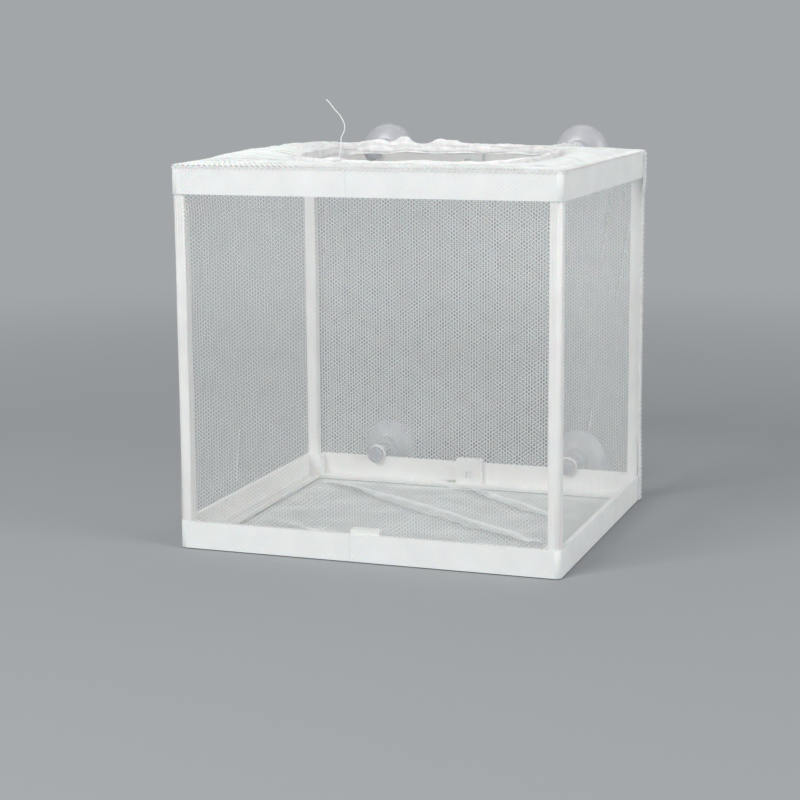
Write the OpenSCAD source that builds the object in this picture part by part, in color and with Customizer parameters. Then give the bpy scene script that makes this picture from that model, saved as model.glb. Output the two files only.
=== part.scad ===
// Fish breeding box: a knock-down frame of two rings and four posts inside a net bag with a
// gathered mouth, held to the tank wall by four suction cups on its rear side.
// Millimetres. X runs left to right, Y front to rear, Z up. The origin is the middle of the
// underside of the net floor.

/* [Box] */
// Width over the net
box_w = 160; // [130:1:200]
// Depth over the net
box_d = 144; // [120:1:180]
// Height from the underside of the floor to the top edge of the net walls
box_h = 155; // [110:1:200]
// Radius of the upright corners, over the net
corner_r = 3; // [2.8:0.1:5]

/* [Net] */
// Thickness of the net
net_t = 0.4; // [0.3:0.1:0.8]
// Columns of openings in each net panel, a coarse stand-in for its fine mesh
net_columns = 12; // [8:2:12]
// Rows of openings in each net panel
net_rows = 12; // [8:2:12]
// Width of the net left between the openings
net_strand = 2.4; // [1.6:0.2:3.6]

/* [Rings] */
// Height of the rails
rail_h = 11; // [9:0.2:16]
// Wall of the rails
rail_t = 2; // [1.6:0.1:2.4]
// Width of the flat lip that runs inside the lower edge of the rails
lip_w = 5; // [3:0.5:8]
// Thickness of the lip, and of the cap over each upper peg bore
lip_t = 1.6; // [1.2:0.1:2.4]

/* [Posts] */
// Side of the square posts
post_s = 5; // [4:0.5:6]
// Radius on the edges of the posts
post_edge_r = 0.8; // [0.6:0.1:1.2]
// How far the posts stand in from the outer faces of the rings
post_inset = 0.5; // [0.4:0.1:1.2]
// Diameter of the peg at each end of a post
peg_d = 3.2; // [2.4:0.1:3.4]
// How far the rings' corner blocks reach past the posts, inside the box
block_ledge = 2; // [1:0.1:3]
// Clearance round a peg in its bore, and at its end
peg_gap = 0.1; // [0.05:0.05:0.2]

/* [Clasps] */
// Length of the clasps that close each ring at the middle of its front and rear rails
clasp_l = 12; // [9:0.5:18]
// Rise of the lower ring's clasps above its rails
clasp_rise = 2; // [1:0.5:4]
// Thickness of the tongues
tongue_t = 1.4; // [1:0.1:2]
// Height of the tongues
tongue_h = 6; // [4:0.2:7]
// Length of tongue inside a clasp
tongue_l = 8.5; // [6:0.5:8.5]
// Clearance between a tongue and its clasp
tongue_gap = 0.15; // [0.1:0.05:0.3]
// Inner wall of the clasps
clasp_wall = 1.2; // [1:0.1:2]
// Side of the square catch that snaps through each clasp
catch_s = 2.4; // [1.6:0.2:3]

/* [Suction cups] */
// Distance from the middle of the box to each suction cup
cup_x = 46; // [30:1:54]
// Height of the upper cups above the rails of the upper ring, negative when below
upper_cup_rise = -1.9; // [-2.4:0.1:1]
// Height of the lower cups above the rails of the lower ring
lower_cup_rise = 1.3; // [0.5:0.1:2]
// Radius of the rim
cup_r = 12.5; // [9:0.1:12.6]
// Depth from the rim to the crown
cup_depth = 8; // [6:0.5:10]
// Thickness of the rim
cup_rim_t = 0.9; // [0.6:0.1:1.4]
// Thickness of the crown
cup_crown_t = 2.2; // [1.5:0.1:3]
// Radius of the boss behind the crown
boss_r = 5.5; // [4.5:0.1:7]
// Length of the boss
boss_l = 3; // [2:0.5:5]
// Radius of the stem between the boss and the net
stem_r = 3.2; // [3:0.1:4]
// Length of the stem
stem_l = 7.7; // [3:0.1:12]
// Radius of the neck that turns in the ring's lug
neck_r = 2.2; // [1.6:0.1:2.6]
// Running clearance round the neck
neck_gap = 0.06; // [0.02:0.01:0.1]
// Radius of the head that holds the neck in the lug
head_r = 3.6; // [3.1:0.1:4.2]
// Length of the head
head_l = 3.4; // [2:0.2:5]
// Wall of the lug round the neck
lug_wall = 1.8; // [1.2:0.1:3]
// Clearance between a cup's shoulders and what they face
cup_gap = 0.3; // [0.2:0.1:0.6]

/* [Mouth] */
// Half width of the gathered mouth
mouth_half_w = 53; // [40:1:60]
// Half depth of the gathered mouth
mouth_half_d = 45; // [35:1:50]
// Middle of the mouth, to the right of the middle of the box
mouth_x = 6; // [-8:1:8]
// Middle of the mouth, to the rear of the middle of the box
mouth_y = -6; // [-8:1:2]
// Rise of the skirt from the top edge of the net walls to the front of the mouth
mouth_rise_front = 0.2; // [0:0.1:4]
// Rise of the skirt from the top edge of the net walls to the rear of the mouth
mouth_rise_rear = 3; // [0:0.1:5]
// Height of the gathers along the hem
gather_h = 0.4; // [0.2:0.1:0.8]
// Number of gathers along the hem
gathers = 14; // [8:1:16]
// Width of the hem
hem_w = 3.2; // [2.8:0.1:5]
// Height of the hem
hem_h = 4.4; // [3.6:0.1:6]
// How far the hem hangs below the skirt
hem_drop = 2; // [1:0.1:2.4]
// Thickness of the round elastic in the hem, measured across its flats
elastic_t = 1.2; // [0.8:0.1:1.4]
// Clearance round the elastic
elastic_gap = 0.1; // [0.05:0.05:0.2]

/* [Seams] */
// Width of the sewn overlap of the net wall
seam_w = 4.4; // [1.5:0.1:6]
// Thickness of that overlap
seam_t = 0.6; // [0.4:0.1:1]
// Distance from the rear of the box to the overlap, round the corner on the right wall
seam_inset = 3; // [3:0.5:9]
// Thickness of the sewing thread on the hem
thread_t = 0.4; // [0.3:0.1:0.6]

/* [Hidden] */
$fn = 48;

// Places that several pieces share
ring_w = box_w - 2 * net_t;
ring_d = box_d - 2 * net_t;
ring_r = corner_r - net_t;
bottom_ring_z = net_t;
top_ring_z = box_h - net_t - rail_h;
inner_x = ring_w / 2 - rail_t;
inner_y = ring_d / 2 - rail_t;
post_x = ring_w / 2 - post_inset - post_s / 2;
post_y = ring_d / 2 - post_inset - post_s / 2;
pocket_t = tongue_t + 2 * tongue_gap;
tongue_z = lip_t + 1;
split_gap = 0.05;
upper_cup_z = top_ring_z + rail_h + upper_cup_rise;
lower_cup_z = bottom_ring_z + rail_h + lower_cup_rise;
lug_r = neck_r + neck_gap + lug_wall;
cut = 1;

// Colours
frame_white = [0.93, 0.93, 0.92];
net_white = [0.96, 0.96, 0.95];
clear_vinyl = [0.82, 0.85, 0.87, 0.6];

module rounded_plate(w, d, r, h) {
    linear_extrude(height = h) {
        square([w - 2 * r, d], center = true);
        square([w, d - 2 * r], center = true);
        for (x = [-1, 1], y = [-1, 1])
            translate([x * (w / 2 - r), y * (d / 2 - r)]) circle(r);
    }
}

// Rings -------------------------------------------------------------------

module rails() {
    difference() {
        rounded_plate(ring_w, ring_d, ring_r, rail_h);
        translate([0, 0, -cut])
            rounded_plate(ring_w - 2 * rail_t, ring_d - 2 * rail_t, ring_r - rail_t + 0.5, rail_h + 2 * cut);
    }
}

module lip() {
    difference() {
        rounded_plate(ring_w - rail_t, ring_d - rail_t, ring_r - rail_t / 2, lip_t);
        translate([-inner_x + lip_w, -inner_y + lip_w, -cut])
            cube([2 * (inner_x - lip_w), 2 * (inner_y - lip_w), lip_t + 2 * cut]);
    }
}

module at_corners() {
    for (x = [-1, 1], y = [-1, 1])
        translate([x * post_x, y * post_y, 0]) mirror([x > 0 ? 1 : 0, 0, 0]) mirror([0, y > 0 ? 1 : 0, 0])
            children();
}

// Blocks that fill the corners of a ring, from inside its rails to just past the posts
module corner_blocks() {
    outward = post_s / 2 + post_inset - rail_t / 2;
    inward = post_s / 2 + block_ledge;
    at_corners()
        translate([-outward, -outward, 0]) cube([outward + inward, outward + inward, rail_h]);
}

module peg_bores(z, h) {
    at_corners()
        translate([0, 0, z]) cylinder(h = h, d = peg_d + 2 * peg_gap);
}

module cup_lugs(z) {
    for (x = [-1, 1])
        translate([x * cup_x, inner_y, z]) rotate([-90, 0, 0]) cylinder(h = rail_t, r = lug_r);
}

module cup_bores(z) {
    for (x = [-1, 1])
        translate([x * cup_x, inner_y - cut, z]) rotate([-90, 0, 0])
            cylinder(h = rail_t + 2 * cut, r = neck_r + neck_gap);
}

// One whole ring standing on z = 0, before it is split into halves
module ring(upper) {
    cup_z = rail_h + (upper ? upper_cup_rise : lower_cup_rise);
    difference() {
        union() {
            rails();
            lip();
            corner_blocks();
            cup_lugs(cup_z);
        }
        if (upper) peg_bores(-cut, rail_h - lip_t + cut);
        else peg_bores(lip_t, rail_h);
        cup_bores(cup_z);
    }
}

module on_both_rails() {
    for (y = [0, 1])
        mirror([0, y, 0]) children();
}

module clasps(rise) {
    block_t = pocket_t + clasp_wall;
    block_z = lip_t;
    on_both_rails()
        difference() {
            translate([-clasp_l / 2, -inner_y - rail_t / 2, block_z])
                cube([clasp_l, block_t + rail_t / 2, rail_h - block_z + rise]);
            translate([-clasp_l / 2 - cut, -inner_y, tongue_z - tongue_gap])
                cube([tongue_l + cut + tongue_gap, pocket_t, tongue_h + 2 * tongue_gap]);
            catch_window();
        }
}

module catch_window() {
    side = catch_s + 2 * tongue_gap;
    translate([-side / 2, -inner_y + pocket_t - cut, tongue_z + tongue_h / 2 - side / 2])
        cube([side, clasp_wall + 2 * cut, side]);
}

module tongues() {
    root_l = 6;
    on_both_rails() {
        translate([-clasp_l / 2 - root_l - split_gap, -inner_y - rail_t / 4, tongue_z])
            cube([root_l, rail_t / 4 + tongue_gap + tongue_t, tongue_h]);
        translate([-clasp_l / 2 - 2 * split_gap, -inner_y + tongue_gap, tongue_z])
            cube([tongue_l + 2 * split_gap, tongue_t, tongue_h]);
        translate([
            -catch_s / 2,
            -inner_y + tongue_gap + tongue_t - split_gap,
            tongue_z + tongue_h / 2 - catch_s / 2
        ])
            cube([catch_s, tongue_gap + clasp_wall / 2 + split_gap, catch_s]);
    }
}

module left_half(upper) {
    intersection() {
        ring(upper);
        translate([-box_w, -box_d, -cut]) cube([box_w - clasp_l / 2 - split_gap, 2 * box_d, 3 * rail_h]);
    }
    tongues();
}

module right_half(upper) {
    intersection() {
        ring(upper);
        translate([-clasp_l / 2, -box_d, -cut]) cube([box_w, 2 * box_d, 3 * rail_h]);
    }
    clasps(upper ? 0 : clasp_rise);
}

module top_ring_left_half() {
    color(frame_white) translate([0, 0, top_ring_z]) left_half(true);
}

module top_ring_right_half() {
    color(frame_white) translate([0, 0, top_ring_z]) right_half(true);
}

module bottom_ring_left_half() {
    color(frame_white) translate([0, 0, bottom_ring_z]) left_half(false);
}

module bottom_ring_right_half() {
    color(frame_white) translate([0, 0, bottom_ring_z]) right_half(false);
}

// Posts -------------------------------------------------------------------

// A post stands between the rings, rounded with their corners, on a peg at each end
module post(side_x, side_y) {
    z_low = bottom_ring_z + rail_h;
    z_high = top_ring_z;
    peg_l = rail_h - lip_t - peg_gap;
    color(frame_white) {
        intersection() {
            translate([side_x * post_x, side_y * post_y, z_low])
                rounded_plate(post_s, post_s, post_edge_r, z_high - z_low);
            translate([0, 0, z_low])
                rounded_plate(2 * post_x + post_s, 2 * post_y + post_s, ring_r - post_inset, z_high - z_low);
        }
        translate([side_x * post_x, side_y * post_y, z_low - peg_l])
            cylinder(h = z_high - z_low + 2 * peg_l, d = peg_d);
    }
}

module front_left_post() {
    post(-1, -1);
}

module front_right_post() {
    post(1, -1);
}

module rear_left_post() {
    post(-1, 1);
}

module rear_right_post() {
    post(1, 1);
}

// Net bag -----------------------------------------------------------------

wall_z = net_t;
wall_h = box_h - 2 * net_t;

module net_wall_band() {
    difference() {
        rounded_plate(box_w, box_d, corner_r, wall_h);
        translate([0, 0, -cut]) rounded_plate(ring_w, ring_d, ring_r, wall_h + 2 * cut);
    }
}

// The quarter of the band on one side, mitred through the middles of the round corners.
// turn is 0 for the front, 90 for the right, 180 for the rear and 270 for the left.
module wall_quarter(turn) {
    across = turn % 180 == 0 ? box_w : box_d;
    deep = turn % 180 == 0 ? box_d : box_w;
    reach = 2 * corner_r;
    intersection() {
        net_wall_band();
        rotate([0, 0, turn]) translate([0, 0, -cut])
            linear_extrude(height = wall_h + 2 * cut)
                polygon([
                    [-across / 2 - cut, -deep / 2 - cut],
                    [across / 2 + cut, -deep / 2 - cut],
                    [across / 2 - reach, -deep / 2 + reach],
                    [-across / 2 + reach, -deep / 2 + reach]
                ]);
    }
}

// The grid of openings in the net on one side, between its posts and between the rings.
module net_openings(turn) {
    deep = turn % 180 == 0 ? box_d : box_w;
    span = 2 * (turn % 180 == 0 ? post_x : post_y) - post_s;
    base = bottom_ring_z + rail_h;
    column = span / net_columns;
    row = (top_ring_z - base) / net_rows;
    edge = net_strand / 2;
    rotate([0, 0, turn])
        for (i = [0 : net_columns - 1], k = [0 : net_rows - 1])
            translate([i * column - span / 2 + edge, -deep / 2 - cut, base + k * row + edge])
                cube([column - net_strand, 2 * cut, row - net_strand]);
}

// Discs of radius r on the suction cups' axes, reaching to either side of the rear net.
module at_cups(r, reach) {
    for (x = [-1, 1], z = [lower_cup_z, upper_cup_z])
        translate([x * cup_x, box_d / 2 - reach, z]) rotate([-90, 0, 0]) cylinder(h = 2 * reach, r = r);
}

module net_front() {
    color(net_white)
        difference() {
            translate([0, 0, wall_z]) wall_quarter(0);
            net_openings(0);
        }
}

module net_right() {
    color(net_white)
        difference() {
            translate([0, 0, wall_z]) wall_quarter(90);
            net_openings(90);
        }
}

module net_left() {
    color(net_white)
        difference() {
            translate([0, 0, wall_z]) wall_quarter(270);
            net_openings(270);
        }
}

// The net is whole over the lugs, where the suction cups' necks pass through it.
module net_rear() {
    color(net_white)
        difference() {
            translate([0, 0, wall_z]) wall_quarter(180);
            difference() {
                net_openings(180);
                at_cups(lug_r, 2 * cut);
            }
            at_cups(neck_r + cup_gap, cut);
        }
}

// The openings in a level net panel, as [low x, low y, high x, high y], inside the lips of the rings
function level_openings() =
    let (reach = [inner_x - lip_w, inner_y - lip_w])
    let (cell = [2 * reach.x / net_columns, 2 * reach.y / net_rows], edge = net_strand / 2)
    [
        for (i = [0 : net_columns - 1], k = [0 : net_rows - 1])
            let (x = i * cell.x - reach.x, y = k * cell.y - reach.y)
            [x + edge, y + edge, x + cell.x - edge, y + cell.y - edge]
    ];

module cut_openings(openings, low, high) {
    for (o = openings)
        translate([o[0], o[1], low]) cube([o[2] - o[0], o[3] - o[1], high - low]);
}

module net_floor() {
    color(net_white)
        difference() {
            rounded_plate(box_w, box_d, corner_r, net_t);
            cut_openings(level_openings(), -cut, net_t + cut);
        }
}

// A loop of points runs round the box, starting at the front left corner. Each side has
// side_points of them, so that the loop has a point on every corner.
side_points = 16;
loop_points = 4 * side_points;
outline_power = 57;
mouth_power = 3;
function side_place(i) = 2 * (i % side_points) / side_points - 1;
function square_place(i) =
    let (side = floor(i / side_points), t = side_place(i))
    side == 0 ? [t, -1] : side == 1 ? [1, t] : side == 2 ? [-t, 1] : [-1, -t];
function round_place(i, power) =
    let (p = square_place(i), a = atan2(p.y, p.x))
    [cos(a), sin(a)] * pow(pow(abs(cos(a)), power) + pow(abs(sin(a)), power), -1 / power);
function edge_point(i, z) =
    let (p = round_place(i, outline_power)) [p.x * box_w / 2, p.y * box_d / 2, z];
function gather(i) = gather_h * sin(gathers * 360 * i / loop_points);
function mouth_rise(y) =
    (mouth_rise_rear + mouth_rise_front) / 2 + (mouth_rise_rear - mouth_rise_front) / 2 * y;
function hem_base(i) = box_h - net_t + mouth_rise(round_place(i, mouth_power).y) + gather(i);
// A point of the mouth, inward from the hem's outer side and up from the skirt's underside
function mouth_point(i, inward, up) =
    let (p = round_place(i, mouth_power))
    [
        mouth_x + p.x * (mouth_half_w - inward),
        mouth_y + p.y * (mouth_half_d - inward),
        hem_base(i) + up
    ];

// Joins loops of the same number of points into one closed solid
module loop_solid(loops) {
    rows = len(loops);
    n = len(loops[0]);
    polyhedron(
        points = [for (loop = loops) for (p = loop) p],
        faces = [
            for (k = [0 : rows - 1]) for (i = [0 : n - 1])
                let (a = k * n + i, b = k * n + (i + 1) % n)
                let (c = ((k + 1) % rows) * n + (i + 1) % n, d = ((k + 1) % rows) * n + i)
                for (face = [[a, b, c], [a, c, d]]) face
        ],
        convexity = 6
    );
}

// Sweeps a section, a list of [inward, up], round the mouth
module mouth_sweep(section) {
    loop_solid([for (s = section) [for (i = [0 : loop_points - 1]) mouth_point(i, s.x, s.y)]]);
}

// Whether a place in plan is well outside the hem
function clear_of_mouth(x, y) =
    let (across = (x - mouth_x) / (mouth_half_w + net_strand / 2))
    let (along = (y - mouth_y) / (mouth_half_d + net_strand / 2))
    pow(abs(across), mouth_power) + pow(abs(along), mouth_power) > 1;

// Those openings of a level panel that lie wholly between the rings and the mouth
function skirt_openings() = [
    for (o = level_openings())
        if (clear_of_mouth(o[0], o[1]) && clear_of_mouth(o[2], o[1])
            && clear_of_mouth(o[0], o[3]) && clear_of_mouth(o[2], o[3])
            && clear_of_mouth((o[0] + o[2]) / 2, (o[1] + o[3]) / 2)) o
    ];

module top_skirt() {
    skirt_t = net_t;
    room = cup_gap;
    notch_y = inner_y - head_l - 2 * room;
    color(net_white)
        difference() {
            loop_solid([
                [for (i = [0 : loop_points - 1]) edge_point(i, box_h)],
                [for (i = [0 : loop_points - 1]) edge_point(i, box_h - skirt_t)],
                [for (i = [0 : loop_points - 1]) mouth_point(i, 0, 0)],
                [for (i = [0 : loop_points - 1]) mouth_point(i, 0, skirt_t)]
            ]);
            for (x = [-1, 1])
                translate([x * cup_x - lug_r - room, notch_y, top_ring_z])
                    cube([2 * (lug_r + room), box_d / 2 + cut - notch_y, rail_h + 2 * lug_r]);
            cut_openings(skirt_openings(), top_ring_z + rail_h - cut, box_h + mouth_rise_rear + rail_h);
        }
}

// Section of the hem: net folded round the elastic, with the fold's slit underneath
elastic_in = hem_w / 2;
elastic_up = hem_h / 2 - hem_drop;
function octagon(flat) = [
    for (k = [0 : 7]) flat / 2 / cos(22.5) * [cos(45 * k - 67.5), sin(45 * k - 67.5)]
];
slit = 0.05;

module mouth_hem() {
    low = -hem_drop;
    top = hem_h - hem_drop;
    bevel = 0.8;
    outer = [
        [elastic_in + slit, low],
        [hem_w - bevel, low],
        [hem_w, low + bevel],
        [hem_w, top - bevel],
        [hem_w - bevel, top],
        [bevel, top],
        [0, top - bevel],
        [0, low + bevel],
        [bevel, low],
        [elastic_in - slit, low]
    ];
    bore = octagon(elastic_t + 2 * elastic_gap);
    lower_y = elastic_up + bore[0].y;
    channel = concat(
        [[elastic_in - slit, lower_y]],
        [for (k = [7 : -1 : 0]) [elastic_in, elastic_up] + bore[k]],
        [[elastic_in + slit, lower_y]]
    );
    color(net_white) mouth_sweep(concat(outer, channel));
}

module mouth_elastic() {
    color([0.9, 0.9, 0.88])
        mouth_sweep([for (p = octagon(elastic_t)) [elastic_in, elastic_up] + p]);
}

module hem_thread() {
    lift = 0.06;
    top = hem_h - hem_drop + lift;
    left = elastic_in - thread_t / 2;
    right = elastic_in + thread_t / 2;
    color([0.97, 0.97, 0.96])
        mouth_sweep([[left, top], [right, top], [right, top + thread_t], [left, top + thread_t]]);
}

module side_seam() {
    color([0.97, 0.97, 0.96])
        translate([box_w / 2, box_d / 2 - seam_inset - seam_w, wall_z]) cube([seam_t, seam_w, wall_h]);
}

// Thread tail -------------------------------------------------------------

// Route of the loose end of the hem's thread, from the hem's front edge to its tip
tail_path = [
    [-21, -50.5, 156.6], [-18.5, -50.5, 156.6], [-16.5, -50.5, 157.5], [-16, -50.5, 159.5],
    [-15.5, -50.5, 162], [-15.5, -50.5, 165], [-14.5, -50.5, 167], [-14, -50.5, 168.5],
    [-14, -50.5, 170], [-14.5, -50.5, 171.5], [-16, -50.5, 174], [-18, -50.5, 176],
    [-20, -50.5, 178.5], [-21.5, -50.5, 180]
];
tail_sides = 8;
tail_steps = 2;

function tail_place(t) =
    let (k = min(floor(t), len(tail_path) - 2), u = t - k)
    let (p0 = tail_path[max(k - 1, 0)], p1 = tail_path[k], p2 = tail_path[k + 1])
    let (p3 = tail_path[min(k + 2, len(tail_path) - 1)])
    0.5 * (2 * p1 + (p2 - p0) * u + (2 * p0 - 5 * p1 + 4 * p2 - p3) * u * u
        + (3 * p1 - p0 - 3 * p2 + p3) * u * u * u);

module thread_tail() {
    rings = (len(tail_path) - 1) * tail_steps;
    function ring_points(k) =
        let (c = tail_place(k / tail_steps))
        let (ahead = tail_place(min(k / tail_steps + 0.1, len(tail_path) - 1)))
        let (behind = tail_place(max(k / tail_steps - 0.1, 0)))
        let (t = (ahead - behind) / norm(ahead - behind))
        let (u = cross([0, 1, 0], t) / norm(cross([0, 1, 0], t)), v = cross(t, u))
        [
            for (s = [0 : tail_sides - 1])
                let (a = 360 * s / tail_sides)
                c + thread_t / 2 * (cos(a) * u + sin(a) * v)
        ];
    start = rings * tail_sides;
    color([0.97, 0.97, 0.96])
        polyhedron(
            points = [for (k = [0 : rings]) for (p = ring_points(k)) p],
            faces = concat(
                [[for (s = [0 : tail_sides - 1]) s]],
                [[for (s = [tail_sides - 1 : -1 : 0]) start + s]],
                [
                    for (k = [0 : rings - 1]) for (s = [0 : tail_sides - 1])
                        let (a = k * tail_sides + s, b = k * tail_sides + (s + 1) % tail_sides)
                        let (c = b + tail_sides, d = a + tail_sides)
                        for (face = [[a, c, b], [a, d, c]]) face
                ]
            ),
            convexity = 4
        );
}

// Suction cups ------------------------------------------------------------

module dome_profile() {
    outer_r = (cup_r * cup_r + cup_depth * cup_depth) / (2 * cup_depth);
    hollow_depth = cup_depth - cup_crown_t;
    hollow_rim = cup_r - cup_rim_t;
    hollow_r = (hollow_rim * hollow_rim + hollow_depth * hollow_depth) / (2 * hollow_depth);
    intersection() {
        difference() {
            translate([0, outer_r - cup_depth]) circle(outer_r, $fn = 96);
            translate([0, hollow_r - hollow_depth]) circle(hollow_r, $fn = 96);
        }
        translate([0, -cup_depth - cut]) square([cup_r + cut, cup_depth + cut]);
    }
}

// The cup's axis lies along +Y with the rim's plane at the far end
module suction_cup(x, z) {
    stem_y = box_d / 2 + cup_gap;
    boss_y = stem_y + stem_l;
    rim_y = boss_y + boss_l + cup_depth;
    head_y = inner_y - cup_gap;
    sunk = cup_crown_t / 2;
    color(clear_vinyl)
        translate([x, 0, z]) rotate([-90, 0, 0]) {
            translate([0, 0, rim_y]) rotate_extrude($fn = 96) dome_profile();
            translate([0, 0, boss_y]) cylinder(h = boss_l + sunk, r = boss_r);
            translate([0, 0, stem_y]) cylinder(h = stem_l + sunk, r = stem_r);
            translate([0, 0, head_y - sunk]) cylinder(h = stem_y - head_y + 2 * sunk, r = neck_r);
            translate([0, 0, head_y - head_l]) cylinder(h = head_l * 0.6, r1 = neck_r, r2 = head_r);
            translate([0, 0, head_y - head_l * 0.4]) cylinder(h = head_l * 0.4, r = head_r);
        }
}

module suction_cup_top_left() {
    suction_cup(-cup_x, upper_cup_z);
}

module suction_cup_top_right() {
    suction_cup(cup_x, upper_cup_z);
}

module suction_cup_bottom_left() {
    suction_cup(-cup_x, lower_cup_z);
}

module suction_cup_bottom_right() {
    suction_cup(cup_x, lower_cup_z);
}

top_ring_left_half();
top_ring_right_half();
bottom_ring_left_half();
bottom_ring_right_half();
front_left_post();
front_right_post();
rear_left_post();
rear_right_post();
net_front();
net_rear();
net_left();
net_right();
net_floor();
top_skirt();
mouth_hem();
mouth_elastic();
hem_thread();
side_seam();
thread_tail();
suction_cup_top_left();
suction_cup_top_right();
suction_cup_bottom_left();
suction_cup_bottom_right();
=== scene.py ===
"""Fish breeding box: a fine net bag over a knock-down plastic frame, with suction cups behind."""

import math

import bmesh
import bpy
from mathutils import Matrix, Vector, noise


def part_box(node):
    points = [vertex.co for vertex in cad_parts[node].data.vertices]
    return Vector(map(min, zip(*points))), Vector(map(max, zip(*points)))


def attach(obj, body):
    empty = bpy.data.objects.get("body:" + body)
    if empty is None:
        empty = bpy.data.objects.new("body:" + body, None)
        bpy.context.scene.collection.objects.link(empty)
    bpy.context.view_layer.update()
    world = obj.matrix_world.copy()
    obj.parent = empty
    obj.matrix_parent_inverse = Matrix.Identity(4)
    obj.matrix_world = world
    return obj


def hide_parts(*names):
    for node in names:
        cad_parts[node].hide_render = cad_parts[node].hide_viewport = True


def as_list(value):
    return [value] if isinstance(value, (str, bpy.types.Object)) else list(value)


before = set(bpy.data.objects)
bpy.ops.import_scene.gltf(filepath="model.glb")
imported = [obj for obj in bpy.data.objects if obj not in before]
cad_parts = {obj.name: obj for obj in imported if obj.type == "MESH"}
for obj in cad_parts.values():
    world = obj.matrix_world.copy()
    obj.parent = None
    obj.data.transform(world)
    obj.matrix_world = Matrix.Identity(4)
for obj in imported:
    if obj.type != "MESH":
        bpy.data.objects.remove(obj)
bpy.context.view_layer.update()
MM = 0.001


# Sizes read from the frame ------------------------------------------------

# Half the bag's width and depth, the net's thickness, and the radius of the bag's corners
HALF_W, HALF_D, NET_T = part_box("net_floor")[1]
CORNER_R = 3 * MM

# Heights of the upper rail's lower edge, the rings' top, the bag's edge and the lower rail's top
UPPER_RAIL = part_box("top_ring_left_half")[0][2]
RING_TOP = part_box("net_right")[1][2]
WALL_TOP = RING_TOP + NET_T
RAIL_TOP = NET_T + RING_TOP - UPPER_RAIL

# How far the taut net is drawn in beside a post, with a little room left between the two
POST_ROOM = 0.3 * MM
WAIST = HALF_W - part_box("front_right_post")[1][0] - POST_ROOM

# The mouth, measured over its hem: a rounded oblong, which a power of 2 would make an ellipse
hem_low, hem_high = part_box("mouth_hem")
MOUTH_X, MOUTH_Y, _ = ((one + other) / 2 for one, other in zip(hem_low, hem_high))
MOUTH_HALF_W = (hem_high[0] - hem_low[0]) / 2
MOUTH_HALF_D = (hem_high[1] - hem_low[1]) / 2
MOUTH_POWER = 3

# Points of a mesh that lie closer than this are one
TOUCHING = 0.01 * MM


# Camera -------------------------------------------------------------------

def aim_camera():
    """The viewing angle: azimuth and elevation round an aim point, a slight roll, a long lens."""
    azimuth, elevation, roll = (math.radians(a) for a in (19.35, 10.4, -0.41))
    aim = Vector((-7.1, -7.2, 53.8)) * MM
    distance = 809.7 * MM
    turn = (
        Matrix.Rotation(azimuth, 4, "Z")
        @ Matrix.Rotation(math.pi / 2 - elevation, 4, "X")
        @ Matrix.Rotation(roll, 4, "Z")
    )
    camera = bpy.data.objects.new("camera", bpy.data.cameras.new("camera"))
    camera.data.lens = 86.61
    camera.data.sensor_width = 36
    camera.data.clip_start = 0.01
    camera.matrix_world = Matrix.Translation(aim) @ turn @ Matrix.Translation((0, 0, distance))
    bpy.context.scene.collection.objects.link(camera)
    bpy.context.scene.camera = camera


aim_camera()


# Materials ----------------------------------------------------------------

def srgb(code):
    """Linear colour of an sRGB hex code such as F4F4F0."""
    parts = [int(code[k : k + 2], 16) / 255 for k in (0, 2, 4)]
    return tuple(p / 12.92 if p <= 0.04045 else ((p + 0.055) / 1.055) ** 2.4 for p in parts) + (1,)


def add(tree, kind, links=None, **settings):
    """Adds a node, sets its properties, and sets or links its inputs by name or number."""
    node = tree.nodes.new(kind)
    for name, value in settings.items():
        setattr(node, name, value)
    for name, value in (links or {}).items():
        socket = node.inputs[name]
        if isinstance(value, bpy.types.NodeSocket):
            tree.links.new(value, socket)
        else:
            socket.default_value = value
    return node


def material(name, **surface):
    """A material with one Principled shader, whose plain values are set on its own sockets."""
    made = bpy.data.materials.new(name)
    made.use_nodes = True
    tree = made.node_tree
    shader = tree.nodes["Principled BSDF"]
    for socket, value in surface.items():
        shader.inputs[socket.replace("_", " ")].default_value = value
    place = add(tree, "ShaderNodeTexCoord").outputs["Object"]
    return made, tree, shader, place


def dress(tree, shader, place, shades, patch, height, strength, depth):
    """Gives a surface its colour and its fine relief.

    The colour drifts between two shades over patches of this size, and the relief follows a
    pattern's height, this deep. Both sizes are in metres.
    """
    patches = add(tree, "ShaderNodeTexNoise", {"Vector": place, "Scale": 1 / patch, "Detail": 2})
    drift = add(tree, "ShaderNodeValToRGB", {"Fac": patches.outputs["Fac"]})
    for element, position, shade in zip(drift.color_ramp.elements, (0.3, 0.7), shades):
        element.position = position
        element.color = srgb(shade)
    bump = add(tree, "ShaderNodeBump", {"Height": height, "Strength": strength, "Distance": depth})
    tree.links.new(drift.outputs["Color"], shader.inputs["Base Color"])
    tree.links.new(bump.outputs["Normal"], shader.inputs["Normal"])


def moulded_polypropylene():
    """Injection-moulded white polypropylene: satin, slightly waxy, with faint flow marks."""
    made, tree, shader, place = material(
        "white_moulded_polypropylene",
        Roughness=0.38,
        IOR=1.49,
        Subsurface_Weight=0.25,
        Subsurface_Scale=1.5 * MM,
    )
    grain = add(tree, "ShaderNodeTexNoise", {"Vector": place, "Scale": 1 / (0.5 * MM), "Detail": 3})
    flow = add(tree, "ShaderNodeTexNoise", {"Vector": place, "Scale": 1 / (9 * MM), "Detail": 1})
    both = add(tree, "ShaderNodeMath", {0: grain.outputs["Fac"], 1: flow.outputs["Fac"]}, operation="ADD")
    dress(tree, shader, place, ("F2F2F0", "F9F9F7"), 18 * MM, both.outputs[0], 0.25, 0.05 * MM)
    return made


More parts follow.
